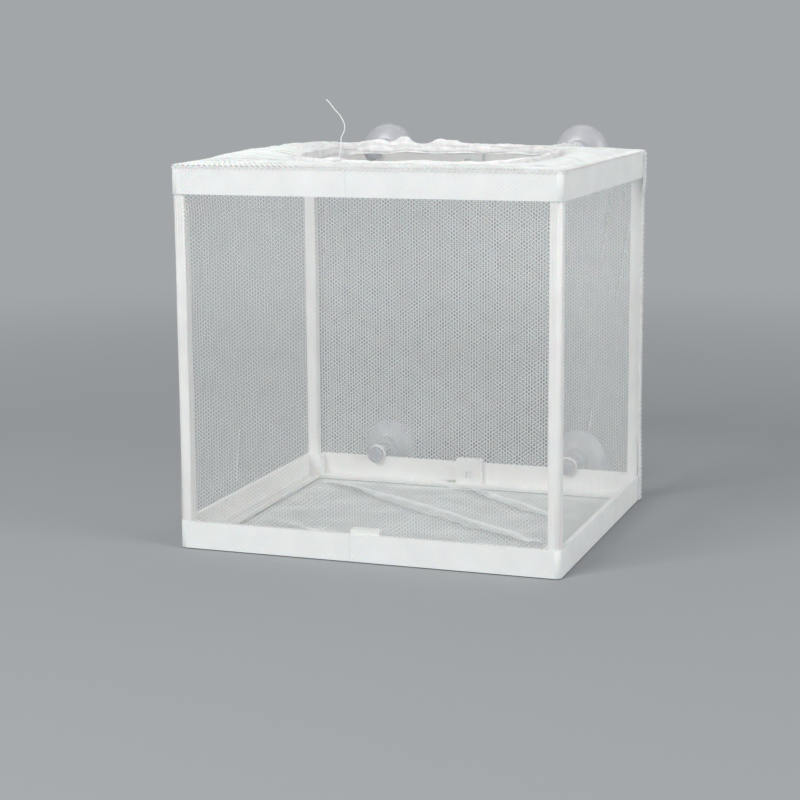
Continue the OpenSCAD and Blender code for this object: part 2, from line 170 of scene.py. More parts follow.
def knitted_nylon():
    """White nylon monofilament, knitted into hexagons: bright, a little glossy, half see-through."""
    made, tree, shader, place = material(
        "white_knitted_nylon",
        Roughness=0.42,
        IOR=1.53,
        Sheen_Weight=0.2,
        Sheen_Roughness=0.4,
        Subsurface_Weight=0.35,
        Subsurface_Scale=0.3 * MM,
    )
    turns = {"Vector": place, "Scale": 1 / (0.5 * MM), "Distortion": 3.0, "Detail": 2.0}
    twist = add(tree, "ShaderNodeTexWave", turns, bands_direction="DIAGONAL")
    dress(tree, shader, place, ("ECECEA", "FAFAF8"), 7 * MM, twist.outputs["Fac"], 0.3, 0.04 * MM)
    return made


def gathered_net_cloth():
    """Several layers of the net gathered into a hem: soft white, with the mesh as fine pits."""
    made, tree, shader, place = material(
        "gathered_white_net",
        Roughness=0.7,
        IOR=1.5,
        Sheen_Weight=0.3,
        Sheen_Roughness=0.5,
        Subsurface_Weight=0.3,
        Subsurface_Scale=0.8 * MM,
    )
    pits = add(tree, "ShaderNodeTexVoronoi", {"Vector": place, "Scale": 1 / (1.1 * MM)})
    dress(tree, shader, place, ("E4E4E4", "FAFAF9"), 3 * MM, pits.outputs["Distance"], 0.5, 0.25 * MM)
    return made


def twisted_thread():
    """White polyester sewing thread: matt, with its twist as fine slanting ridges."""
    made, tree, shader, place = material("white_sewing_thread", Roughness=0.55, IOR=1.5, Sheen_Weight=0.3)
    turns = {"Vector": place, "Scale": 1 / (1.2 * MM), "Distortion": 1.0}
    twist = add(tree, "ShaderNodeTexWave", turns, bands_direction="DIAGONAL")
    dress(tree, shader, place, ("F0F0EE", "FFFFFF"), 2 * MM, twist.outputs["Fac"], 0.5, 0.05 * MM)
    return made


def braided_elastic():
    """Round white elastic: a rubber core in a braided cover."""
    made, tree, shader, place = material("braided_white_elastic", Roughness=0.65, IOR=1.5)
    braid = add(tree, "ShaderNodeTexVoronoi", {"Vector": place, "Scale": 1 / (0.5 * MM)})
    dress(tree, shader, place, ("E6E6E2", "F4F4F0"), 2 * MM, braid.outputs["Distance"], 0.6, 0.1 * MM)
    return made


def clear_vinyl():
    """Clear soft vinyl, injection moulded: milky, with a soft sheen on its skin."""
    made, tree, shader, place = material("clear_soft_vinyl", Roughness=0.3, IOR=1.5, Transmission_Weight=0.7)
    ripple = add(tree, "ShaderNodeTexNoise", {"Vector": place, "Scale": 1 / (4 * MM), "Detail": 1})
    dress(tree, shader, place, ("E9EAF0", "F6F6F9"), 6 * MM, ripple.outputs["Fac"], 0.2, 0.2 * MM)
    return made


PLASTIC = moulded_polypropylene()
NYLON = knitted_nylon()
HEM_CLOTH = gathered_net_cloth()
THREAD = twisted_thread()
ELASTIC = braided_elastic()
VINYL = clear_vinyl()


# Making pieces ------------------------------------------------------------

def link(obj):
    bpy.context.scene.collection.objects.link(obj)
    return obj


def mesh_piece(name, points, faces, finish, smooth=True):
    """A piece made of these points and faces, in the row frame."""
    mesh = bpy.data.meshes.new(name)
    mesh.from_pydata(points, [], faces)
    mesh.materials.append(finish)
    mesh.polygons.foreach_set("use_smooth", [smooth] * len(mesh.polygons))
    mesh.update()
    return link(bpy.data.objects.new(name, mesh))


def grid_faces(rows, columns, closed_rows=False, closed_columns=False):
    """Quads of a grid of points listed row by row."""
    faces = []
    for r in range(rows if closed_rows else rows - 1):
        for c in range(columns if closed_columns else columns - 1):
            up, right = (r + 1) % rows, (c + 1) % columns
            faces.append((r * columns + c, r * columns + right, up * columns + right, up * columns + c))
    return faces


def bake_modifiers(obj):
    """Replaces the piece's mesh by its evaluated one and drops its modifiers."""
    bpy.context.view_layer.update()
    depsgraph = bpy.context.evaluated_depsgraph_get()
    mesh = bpy.data.meshes.new_from_object(obj.evaluated_get(depsgraph), depsgraph=depsgraph)
    obj.modifiers.clear()
    obj.data = mesh
    return obj


# Thread tail --------------------------------------------------------------

# Route of the hem thread's loose end, as in the frame, in millimetres
TAIL_PATH = [
    (-21, -50.5, 156.6), (-18.5, -50.5, 156.6), (-16.5, -50.5, 157.5), (-16, -50.5, 159.5),
    (-15.5, -50.5, 162), (-15.5, -50.5, 165), (-14.5, -50.5, 167), (-14, -50.5, 168.5),
    (-14, -50.5, 170), (-14.5, -50.5, 171.5), (-16, -50.5, 174), (-18, -50.5, 176),
    (-20, -50.5, 178.5), (-21.5, -50.5, 180),
]


def smooth_route(points, steps):
    """Points along the smooth curve through the given ones, steps to each stretch."""
    ends = [points[0]] + list(points) + [points[-1]]
    route = []
    for k in range(len(points) - 1):
        p0, p1, p2, p3 = (Vector(p) for p in ends[k : k + 4])
        for s in range(steps):
            u = s / steps
            bend = (2 * p0 - 5 * p1 + 4 * p2 - p3) * u * u
            twist = (3 * p1 - p0 - 3 * p2 + p3) * u * u * u
            route.append(0.5 * (2 * p1 + (p2 - p0) * u + bend + twist))
    return route + [Vector(points[-1])]


def thread_tail():
    """The loose end of the sewing thread, which springs up from the front of the hem."""
    diameter = 0.4 * MM
    route = [place * MM for place in smooth_route(TAIL_PATH, 4)]
    curve = bpy.data.curves.new("loose_thread_tail", "CURVE")
    curve.dimensions = "3D"
    curve.bevel_depth = diameter / 2
    curve.bevel_resolution = 2
    curve.use_fill_caps = True
    spline = curve.splines.new("POLY")
    spline.points.add(len(route) - 1)
    for point, place in zip(spline.points, route):
        point.co = (*place, 1)
    curve.materials.append(THREAD)
    tail = link(bpy.data.objects.new("loose_thread_tail", curve))
    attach(tail, "box")
    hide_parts("thread_tail")


thread_tail()


# Net ----------------------------------------------------------------------

# The knit: staggered hexagonal holes. These are the holes to a row on each wall, the distance between
# their middles along a row, the distance between rows, and half the length of a hole's level edge
COLUMNS_FRONT, COLUMNS_SIDE = 69, 62
COLUMNS = 2 * (COLUMNS_FRONT + COLUMNS_SIDE)
PERIMETER = 4 * (HALF_W + HALF_D) - 8 * CORNER_R + 2 * math.pi * CORNER_R
PITCH_ACROSS = PERIMETER / COLUMNS
ROW_STEP = 0.8 * MM
FLAT_END = 0.4 * MM

# Width and thickness of a strand, and the share of the flat cloth that is yarn: the rest is holes
TAUT = (0.16 * MM, 0.06 * MM, 0.32)
LOOSE = (0.18 * MM, 0.16 * MM, 0.45)
SLACK = (0.34 * MM, 0.14 * MM, 0.6)


def net_cell(name, yarn):
    """One hexagon's share of the knit: three ridged strands, mitred where they meet."""
    strand_w, thickness, _ = yarn
    a, b, h = PITCH_ACROSS / 2 - FLAT_END, FLAT_END, ROW_STEP
    right_up, right_down = Vector((a - b, h)).normalized(), Vector((a - b, -h)).normalized()
    left_up, left_down = -right_down, -right_up
    across = Vector((1, 0))

    def corner(place, one, other):
        """Where the edges of two neighbouring strands meet beside a knot."""
        middle = (one + other).normalized()
        half_angle = one.angle(other) / 2
        return place + middle * (strand_w / 2 / math.sin(half_angle))

    top_left, top_right, right, left = (Vector(p) for p in ((-b, h), (b, h), (a, 0), (-a, 0)))
    strands = [
        (
            (top_left, top_right),
            (corner(top_left, across, left_up), corner(top_right, -across, right_up)),
            (corner(top_left, across, left_down), corner(top_right, -across, right_down)),
        ),
        (
            (top_right, right),
            (corner(top_right, right_down, right_up), corner(right, left_up, across)),
            (corner(top_right, right_down, -across), corner(right, left_up, left_down)),
        ),
        (
            (top_left, left),
            (corner(top_left, left_down, left_up), corner(left, right_up, -across)),
            (corner(top_left, left_down, across), corner(left, right_up, right_down)),
        ),
    ]
    points, faces = [], []
    for ridge, one_side, other_side in strands:
        start = len(points)
        points += [(*p, thickness) for p in ridge]
        points += [(*p, 0) for p in one_side + other_side]
        for quad in ((0, 1, 3, 2), (0, 1, 5, 4)):
            corners = [Vector(points[start + k]) for k in quad]
            upward = (corners[1] - corners[0]).cross(corners[2] - corners[0]).z > 0
            faces.append(tuple(start + k for k in (quad if upward else quad[::-1])))
    return mesh_piece(name, points, faces, NYLON, smooth=False)


def named_inputs(tree, inputs, output):
    """Gives a Geometry Nodes tree its named inputs and its one output."""
    for name, kind, value in inputs:
        socket = tree.interface.new_socket(name, in_out="INPUT", socket_type=f"NodeSocket{kind}")
        if value is not None:
            socket.default_value = value
    tree.interface.new_socket(output, in_out="OUTPUT", socket_type="NodeSocketGeometry")
    return add(tree, "NodeGroupInput").outputs


def finish_tree(tree, geometry, finish):
    """Ends a tree: every instance made real, and in the finish that is given."""
    real = add(tree, "GeometryNodeRealizeInstances", {"Geometry": geometry})
    painted = add(tree, "GeometryNodeSetMaterial", {"Geometry": real.outputs[0], "Material": finish})
    add(tree, "NodeGroupOutput", {0: painted.outputs[0]})
    return tree


def net_tree():
    """Geometry Nodes: knits a flat net of cells and lays it on the cloth that it is given."""
    tree = bpy.data.node_groups.new("hexagonal_net", "GeometryNodeTree")
    given = named_inputs(
        tree,
        [
            ("Cloth", "Geometry", None),
            ("Cell", "Object", None),
            ("Columns", "Int", 60),
            ("Rows", "Int", 60),
            ("Pitch across", "Float", PITCH_ACROSS),
            ("Row step", "Float", ROW_STEP),
            ("Cloth width", "Float", 0.1),
            ("Cloth height", "Float", 0.1),
            ("Yarn", "Material", None),
        ],
        "Net",
    )

    def maths(operation, one, other=0.0):
        return add(tree, "ShaderNodeMath", {0: one, 1: other}, operation=operation).outputs[0]

    count = maths("MULTIPLY", given["Columns"], given["Rows"])
    index = add(tree, "GeometryNodeInputIndex").outputs[0]
    row = maths("FLOOR", maths("DIVIDE", maths("ADD", index, 0.5), given["Columns"]))
    column = maths("SUBTRACT", index, maths("MULTIPLY", row, given["Columns"]))
    shifted = maths("ADD", column, maths("MULTIPLY", maths("MODULO", row, 2.0), 0.5))
    x = maths("ADD", maths("MULTIPLY", shifted, given["Pitch across"]), given["Pitch across"])
    y = maths("ADD", maths("MULTIPLY", row, given["Row step"]), given["Row step"])
    place = add(tree, "ShaderNodeCombineXYZ", {"X": x, "Y": y})
    cells = add(tree, "GeometryNodePoints", {"Count": count, "Position": place.outputs[0]})
    cell = add(tree, "GeometryNodeObjectInfo", {"Object": given["Cell"]})
    spread = {"Points": cells.outputs[0], "Instance": cell.outputs["Geometry"]}
    rows = add(tree, "GeometryNodeInstanceOnPoints", spread)
    flat = add(tree, "GeometryNodeRealizeInstances", {"Geometry": rows.outputs[0]})
    joined = add(tree, "GeometryNodeMergeByDistance", {"Geometry": flat.outputs[0], "Distance": TOUCHING})
    here = add(tree, "GeometryNodeInputPosition").outputs[0]
    on_flat = add(tree, "ShaderNodeSeparateXYZ", {0: here}).outputs
    u = maths("DIVIDE", on_flat["X"], given["Cloth width"])
    v = maths("DIVIDE", on_flat["Y"], given["Cloth height"])
    rim = 0.0001
    u, v = (maths("MINIMUM", maths("MAXIMUM", share, rim), 1 - rim) for share in (u, v))
    uv = add(tree, "ShaderNodeCombineXYZ", {"X": u, "Y": v}).outputs[0]
    cut = add(tree, "GeometryNodeInputNamedAttribute", {"Name": "cloth"}, data_type="FLOAT_VECTOR")

    def from_cloth(value):
        links = {"Mesh": given["Cloth"], "Value": value, "Source UV Map": cut.outputs[0], "Sample UV": uv}
        return add(tree, "GeometryNodeSampleUVSurface", links, data_type="FLOAT_VECTOR").outputs["Value"]

    ground = from_cloth(add(tree, "GeometryNodeInputPosition").outputs[0])
    normal = from_cloth(add(tree, "GeometryNodeInputNormal").outputs[0])
    rise = add(tree, "ShaderNodeVectorMath", {0: normal, "Scale": on_flat["Z"]}, operation="SCALE")
    lifted = add(tree, "ShaderNodeVectorMath", {0: ground, 1: rise.outputs[0]}, operation="ADD")
    moved = {"Geometry": joined.outputs[0], "Position": lifted.outputs[0]}
    laid = add(tree, "GeometryNodeSetPosition", moved)
    return finish_tree(tree, laid.outputs[0], given["Yarn"])


TAUT_CELL = net_cell("taut_net_cell", TAUT)
LOOSE_CELL = net_cell("loose_net_cell", LOOSE)
SLACK_CELL = net_cell("slack_net_cell", SLACK)
NET_TREE = net_tree()


def cloth_guide(name, across, along, point):
    """A guide for the net: a fine grid of across by along steps, with its cut as the UV map.

    point(s, t) gives the place for s and t from 0 to 1. The cut's width runs along the true
    length of each row, so that a fold takes in the net that it hides.
    """
    points, uvs = [], []
    for r in range(along + 1):
        row = [point(c / across, r / along) for c in range(across + 1)]
        run = [0.0]
        for one, other in zip(row, row[1:]):
            run.append(run[-1] + (other - one).length)
        points += row
        uvs += [(x / run[-1], r / along) for x in run]
    guide = mesh_piece(name, points, grid_faces(along + 1, across + 1), NYLON)
    layer = guide.data.uv_layers.new(name="cloth")
    corners = [0] * len(guide.data.loops)
    guide.data.loops.foreach_get("vertex_index", corners)
    layer.data.foreach_set("uv", [x for corner in corners for x in uvs[corner]])
    return guide


def build(piece, tree, values):
    """Runs a Geometry Nodes tree on a piece, with these inputs, and keeps the mesh that it makes."""
    modifier = piece.modifiers.new(tree.name, "NODES")
    modifier.node_group = tree
    for item in tree.interface.items_tree:
        if item.in_out == "INPUT" and item.name in values:
            modifier[item.identifier] = values[item.name]
    return bake_modifiers(piece)


def knit(guide, cell, columns, rows, width, height):
    """Turns a cloth guide, cut to width by height, into real net."""
    values = {
        "Cell": cell,
        "Columns": columns,
        "Rows": rows,
        "Pitch across": PITCH_ACROSS,
        "Row step": ROW_STEP,
        "Cloth width": width,
        "Cloth height": height,
        "Yarn": NYLON,
    }
    return build(guide, NET_TREE, values)


def declare_net(net, node, width, rests_on):
    """Puts the net on the box and hides the CAD node that it stands for. The width that it has when it lies
    flat is not used.
    """
    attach(net, "box")
    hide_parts(node)
    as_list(rests_on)


# How far a pleat lies above the net, how much its width wanders, and the length of those waves
PLEAT_LIFT = 0.12 * MM
PLEAT_RAGGED = 0.25
PLEAT_WAVE = 7 * MM


def pleat(cell, surface, start, end, wide):
    """The net lying double along a fold: a narrow strip of it that thins out at both ends."""
    start, run = Vector(start) * MM, (Vector(end) - Vector(start)) * MM
    side = Vector((-run.y, run.x)).normalized() * wide * MM
    columns, rows = round(2 * run.length / PITCH_ACROSS), max(2, round(wide * MM / ROW_STEP))

    def point(s, t):
        middle = start + run * s
        taper = math.sin(math.pi * (0.03 + 0.94 * s)) ** 0.6
        ragged = noise.noise(Vector((*middle, side.length * round(t))) / PLEAT_WAVE)
        return surface(middle + side * (taper * (t - 0.5) * (1 + PLEAT_RAGGED * ragged)), PLEAT_LIFT)

    guide = cloth_guide("pleat", 2 * columns, 2 * rows, point)
    width, height = (columns + 0.5) * PITCH_ACROSS, (rows + 1) * ROW_STEP
    return knit(guide, cell, columns - 1, rows, width, height)


def join_into(piece, others):
    """Makes one mesh of the piece and the others."""
    whole = bmesh.new()
    for part in (piece, *others):
        whole.from_mesh(part.data)
    whole.to_mesh(piece.data)
    whole.free()
    for part in others:
        bpy.data.objects.remove(part)


CUP_SIDES = ("top_left", "top_right", "bottom_left", "bottom_right")

# Radius of the room that the net leaves round a cup's stem, how far out its strands are pushed aside,
# the radius within which they are cut, and the y behind which all this is done
STEM_ROOM = 3.6 * MM
PARTED = 7 * MM
CUT_OUT = 0.8 * STEM_ROOM
REAR_NET = HALF_D - 0.8 * MM


def part_round_stems(net):
    """Opens the net where the cups' stems pass through it, with its strands pushed aside."""
    whole = bmesh.new()
    whole.from_mesh(net.data)
    for side in CUP_SIDES:
        low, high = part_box(f"suction_cup_{side}")
        axis = Vector(((low[0] + high[0]) / 2, (low[2] + high[2]) / 2))
        for vertex in whole.verts:
            off = vertex.co.xz - axis
            if vertex.co.y > REAR_NET and off.length < PARTED:
                off *= STEM_ROOM * (1 / off.length - 1 / PARTED)
                vertex.co += Vector((off.x, 0, off.y))
        across = []
        for face in whole.faces:
            middle = face.calc_center_median()
            if middle.y > REAR_NET and (middle.xz - axis).length < CUT_OUT:
                across.append(face)
        bmesh.ops.delete(whole, geom=across, context="FACES")
    whole.to_mesh(net.data)
    whole.free()


# Net walls ----------------------------------------------------------------

def smooth_step(x):
    """Rises smoothly from 0 to 1 as x does, and stays level before and after."""
    x = min(max(x, 0.0), 1.0)
    return x * x * (3 - 2 * x)


def outline_place(run, inset=0.0):
    """Point on the box's outline, the way out there and how far the corner is.

    run is measured from the middle of the front left corner, anticlockwise from above.
    """
    straight_w, straight_d = 2 * (HALF_W - CORNER_R), 2 * (HALF_D - CORNER_R)
    half_arc = math.pi / 4 * CORNER_R
    run %= PERIMETER
    turn = 0
    for length in (straight_w, straight_d, straight_w, straight_d):
        if run < length + 2 * half_arc:
            break
        run -= length + 2 * half_arc
        turn += 1
    deep = (HALF_D if turn % 2 == 0 else HALF_W) - CORNER_R
    past_end = run - half_arc - length
    if run < half_arc:
        angle = (run - half_arc) / CORNER_R
        local = Vector((-length / 2, -deep, 0))
    elif past_end > 0:
        angle = past_end / CORNER_R
        local = Vector((length / 2, -deep, 0))
    else:
        angle = 0.0
        local = Vector((run - half_arc - length / 2, -deep, 0))
    out = Vector((math.sin(angle), -math.cos(angle), 0))
    local += out * (CORNER_R - inset)
    spin = Matrix.Rotation(turn * math.pi / 2, 3, "Z")
    return spin @ local, spin @ out, min(run, length + 2 * half_arc - run)


# Heights over which the net is drawn in below the upper rail and above the lower one, how far from a
# corner that reaches, and the share of it that is left beyond
DRAWN_BELOW = 8 * MM
DRAWN_ABOVE = 28 * MM
DRAWN_BESIDE = 26 * MM
DRAWN_SHARE = 0.4


def waist(height, from_corner):
    """How far the taut net is drawn in between the rings, most beside the posts."""
    below_top = smooth_step((UPPER_RAIL - height) / DRAWN_BELOW)
    above_base = smooth_step((height - RAIL_TOP) / DRAWN_ABOVE)
    beside_post = math.exp(-((from_corner / DRAWN_BESIDE) ** 2))
    return below_top * above_base * WAIST * (DRAWN_SHARE + (1 - DRAWN_SHARE) * beside_post)


# Folds in the walls: wall, then (place along the wall from its middle, height) at both ends, how far
# they stand out, how wide they are and how wide the net lies double on them, in millimetres
WALL_FOLDS = [
    ("right", (4.2, 143.3), (-8.7, 123.6), 1.3, 0.8, 1.6),
    ("right", (-7.8, 124.3), (-15.1, 115.5), 0.7, 1.1, 1.2),
    ("right", (27.8, 142.5), (28.6, 134.6), 0.8, 0.8, 1.4),
    ("right", (37.1, 126.8), (23.1, 108.9), 1.2, 0.8, 1.7),
    ("right", (24.3, 110.4), (15.0, 96.5), 0.7, 1.2, 1.2),
    ("right", (-26.6, 57.9), (-32.1, 50.0), 0.8, 0.8, 1.4),
    ("rear", (69.9, 134), (71.2, 105), 0.8, 0.7, 1.0),
    ("rear", (71.1, 107), (73.4, 78), 0.7, 0.7, 0.9),
    ("left", (9, 38), (13, 14), 0.7, 0.8, 1.3),
    ("front", (-30, 26), (-4, 14), 0.3, 2.5, 0),
]


def fold_rise(folds, place):
    """How far these folds, each (start, end, height, width, pleat) in millimetres, stand up at a place."""
    rise = 0.0
    for start, end, tall, wide, _ in folds:
        start, run = Vector(start) * MM, (Vector(end) - Vector(start)) * MM
        share = min(max((place - start).dot(run) / run.length_squared, 0.0), 1.0)
        off = (place - start - run * share).length
        fade = math.sin(math.pi * min(max(share, 0.04), 0.96)) ** 0.5
        rise += tall * MM * fade * math.exp(-((off / (wide * MM)) ** 2))
    return rise


def net_wall(wall, first, columns):
    """One side of the bag, from its lower edge to the top of the frame."""
    rows = round(WALL_TOP / ROW_STEP)
    start = (first - 1) * PITCH_ACROSS
    width = (columns + 2) * PITCH_ACROSS
    middle = (first + columns / 2) * PITCH_ACROSS
    folds = [fold[1:] for fold in WALL_FOLDS if fold[0] == wall]
    beside_rail, ripple, ripple_size = 6 * MM, 0.25 * MM, 22 * MM

    def surface(spot, lift=0.0):
        run, height = spot.x + middle, spot.y
        from_corner = outline_place(run)[2]
        place, out, _ = outline_place(run, waist(height, from_corner) + NET_T)
        clear = smooth_step(min(height - RAIL_TOP, UPPER_RAIL - height) / beside_rail)
        slack = ripple * (1 + noise.noise(Vector((run, height, 0.3)) / ripple_size))
        rise = clear * (fold_rise(folds, spot) + slack) + lift
        return Vector((place.x, place.y, height)) + out * rise

    def point(s, t):
        return surface(Vector((start - middle + s * width, t * WALL_TOP)))

    guide = cloth_guide(f"{wall}_net_wall", 4 * (columns + 2), 220, point)
    net = knit(guide, TAUT_CELL, columns, rows - 1, width, WALL_TOP)
    join_into(net, [pleat(SLACK_CELL, surface, a, b, wide) for a, b, _, _, wide in folds if wide])
    if wall == "rear":
        part_round_stems(net)
    flat_w, rings = columns * PITCH_ACROSS, ["bottom_ring_right_half", "top_ring_right_half"]
    declare_net(net, f"net_{wall}", flat_w, rings)


def net_walls():
    """The four walls, each of which starts at the column where the one before it ends."""
    first = 0
    across, along = COLUMNS_FRONT, COLUMNS_SIDE
    for wall, columns in (("front", across), ("right", along), ("rear", across), ("left", along)):
        net_wall(wall, first, columns)
        first += columns


net_walls()


# Net floor ----------------------------------------------------------------

# Folds in the slack floor net, as (x, y) at both ends, their height and width, and how wide the net
# lies double on them, in millimetres
FLOOR_FOLDS = [
    ((-68, 57), (-36, 39), 1.2, 2.5, 5),
    ((-46, 45), (55, -23), 2.0, 4.0, 11),
    ((-9, 65), (14, 52), 1.2, 2.5, 5),
    ((6, 57), (52, 21), 1.7, 3.5, 9),
    ((-60, -20), (-20, -44), 0.8, 4.0, 0),
]


def net_floor():
    """The bottom of the bag, slack between the rails, with folds that stand up from it."""
    rim, lift_off, beside_rim, ripple, ripple_size = 0.3 * MM, 0.1 * MM, 12 * MM, 0.5 * MM, 16 * MM
    half_w, half_d = HALF_W - rim, HALF_D - rim
    columns, rows = round(2 * half_w / PITCH_ACROSS) - 2, round(2 * half_d / ROW_STEP) - 1

    def surface(spot, lift=0.0):
        x, y = spot
        corner = Vector((abs(x) - half_w + CORNER_R, abs(y) - half_d + CORNER_R))
        if min(corner) > 0 and corner.length > CORNER_R:
            corner *= CORNER_R / corner.length
            x = math.copysign(half_w - CORNER_R + corner.x, x)
            y = math.copysign(half_d - CORNER_R + corner.y, y)
        clear = smooth_step(min(half_w - abs(x), half_d - abs(y)) / beside_rim - 0.5)
        slack = ripple * (1 + noise.noise(Vector((x, y, 0)) / ripple_size))
        folded = fold_rise(FLOOR_FOLDS, Vector((x, y)))
        return Vector((x, y, lift_off + clear * (folded + slack) + lift))

    def point(s, t):
        return surface(Vector(((2 * s - 1) * half_w, (2 * t - 1) * half_d)))

    guide = cloth_guide("net_floor_panel", 240, 220, point)
    width, height = (columns + 1.5) * PITCH_ACROSS, (rows + 1) * ROW_STEP
    net = knit(guide, LOOSE_CELL, columns, rows, width, height)
    join_into(net, [pleat(LOOSE_CELL, surface, a, b, wide) for a, b, _, _, wide in FLOOR_FOLDS if wide])
    declare_net(net, "net_floor", 2 * half_w, ["bottom_ring_right_half"])


net_floor()


# Mouth --------------------------------------------------------------------

def mouth_place(angle, inward):
    """Point of the mouth's outline, drawn inward from the hem's outer face."""
    c, s = math.cos(angle), math.sin(angle)
    x = math.copysign(abs(c) ** (2 / MOUTH_POWER), c) * (MOUTH_HALF_W - inward)
    y = math.copysign(abs(s) ** (2 / MOUTH_POWER), s) * (MOUTH_HALF_D - inward)
    return Vector((MOUTH_X + x, MOUTH_Y + y, 0))


def mouth_beside(place, inward):
    """Point of the mouth's outline straight between a place on the box's edge and its middle."""
    way = place - Vector((MOUTH_X, MOUTH_Y, place.z))
    reach = (
        abs(way.x / (MOUTH_HALF_W - inward)) ** MOUTH_POWER
        + abs(way.y / (MOUTH_HALF_D - inward)) ** MOUTH_POWER
    ) ** (-1 / MOUTH_POWER)
    return Vector((MOUTH_X, MOUTH_Y, place.z)) + way * reach


# The hem's width, and how far it stands above its seam's line and hangs below it
HEM_W, HEM_TOP, HEM_DROP = 3.2 * MM, 2.5 * MM, 1.9 * MM

# Height of that line above the bag's edge at the front and how far it rises to the rear, both in
# millimetres, and how far and over what length it wanders
HEM_FRONT, HEM_RISE = -1.2, 2.6
HEM_WANDER, HEM_WAVE = 0.5 * MM, 9 * MM

# Places where the gathers puff the hem up: x, 1 at the rear and -1 at the front, how far and how wide,
# in millimetres
HEM_PUFFS = [
    (-49, 1, 1.3, 13), (-31.3, 1, 2.2, 4.2), (-19.5, 1, 2.8, 3.5), (-26, 1, 0.9, 3),
    (-3.5, 1, 1.6, 4), (2.5, 1, 1.7, 3.5),
    (-19, -1, 1.1, 5), (-34, -1, 0.6, 4), (56, -1, 0.9, 4), (16, -1, 0.4, 4),
]


def hem_line(place):
    """Height of the hem's seam above the table, which rises to the rear and undulates."""
    back = (place.y - MOUTH_Y) / MOUTH_HALF_D
    wander = HEM_WANDER * noise.noise(Vector((place.x, place.y, 4.2 * MM)) / HEM_WAVE)
    return WALL_TOP + (HEM_FRONT + HEM_RISE * (back + 1) / 2) * MM + wander


def hem_puff(place):
    """How far the hem's upper edge is puffed up at a place."""
    back = (place.y - MOUTH_Y) / MOUTH_HALF_D
    puff = 0.0
    for x, rear, tall, wide in HEM_PUFFS:
        beside = max(0.0, back * rear) ** 2
        puff += tall * MM * beside * math.exp(-((abs(place.x - x * MM) / (wide * MM)) ** 2.6))
    return puff


# How far the slack net swells up beside each edge of the frame, in millimetres, and the share of that
# which is lost at a corner
SWELL_LEFT, SWELL_REAR, SWELL_RIGHT, SWELL_FRONT = 2.8, 1.5, 1.8, 1.6
LOST_AT_CORNER = 0.85


def skirt_swell(place):
    """How far the slack net swells up between the frame and the mouth, beside a place on the edge."""
    across, back = place.x / HALF_W, place.y / HALF_D
    left, right = max(-across, 0) ** 4, max(across, 0) ** 4
    rear, front = max(back, 0) ** 4, max(-back, 0) ** 4
    swell = left * SWELL_LEFT + rear * SWELL_REAR + right * SWELL_RIGHT + front * SWELL_FRONT
    at_corner = abs(across * back) ** 3
    return swell / (left + right + rear + front) * MM * (1 - LOST_AT_CORNER * at_corner)


# The slack net's puff behind the mouth's left end, as x, y, height and width in millimetres
SKIRT_PUFF = (-53, 40, 1.7, 17)


def skirt_puff(place):
    """How far the slack net is puffed up behind the mouth's left end."""
    x, y, tall, wide = SKIRT_PUFF
    off = (place.xy - Vector((x, y)) * MM).length / (wide * MM)
    return tall * MM * math.exp(-off * off)


# Rows of net in the skirt, the part that is turned down over the frame's edge as a share of the rest,
# how far it is turned down, and how far the skirt's inner end reaches into the hem
SKIRT_ROWS = 44
SKIRT_EDGE = 0.065
TURNED_DOWN = 2.2 * MM
TUCKED_IN = 0.8 * MM

# The drop from the top of an upper cup's rim to the top of its lug, how far above the lug the skirt
# lies, half the width over which the lug lifts it, and the share of the way in that is steep there
LUG_BELOW_RIM = 8.4 * MM
OVER_LUG = 0.6 * MM
LUG_REACH = 5.5 * MM
LUG_STEEP = 0.08


def skirt_gathers(edge, t):
    """The gathers, narrow and wide, at a share t of the way from a place on the edge to the mouth."""
    narrow, wide = 4.2 * MM, 9 * MM
    gathers = noise.noise(Vector((edge.x, edge.y, 12 * MM * t)) / narrow)
    return gathers + 0.6 * noise.noise(Vector((edge.x, edge.y, 9 * MM * t + 1)) / wide)


def skirt_creases(edge, t):
    """The creases there, which are drawn out along the edge and so run round the mouth."""
    size, drawn_out = 5 * MM, 0.3
    return noise.noise(Vector((edge.x * drawn_out, edge.y * drawn_out, 22 * MM * t + 2)) / size)


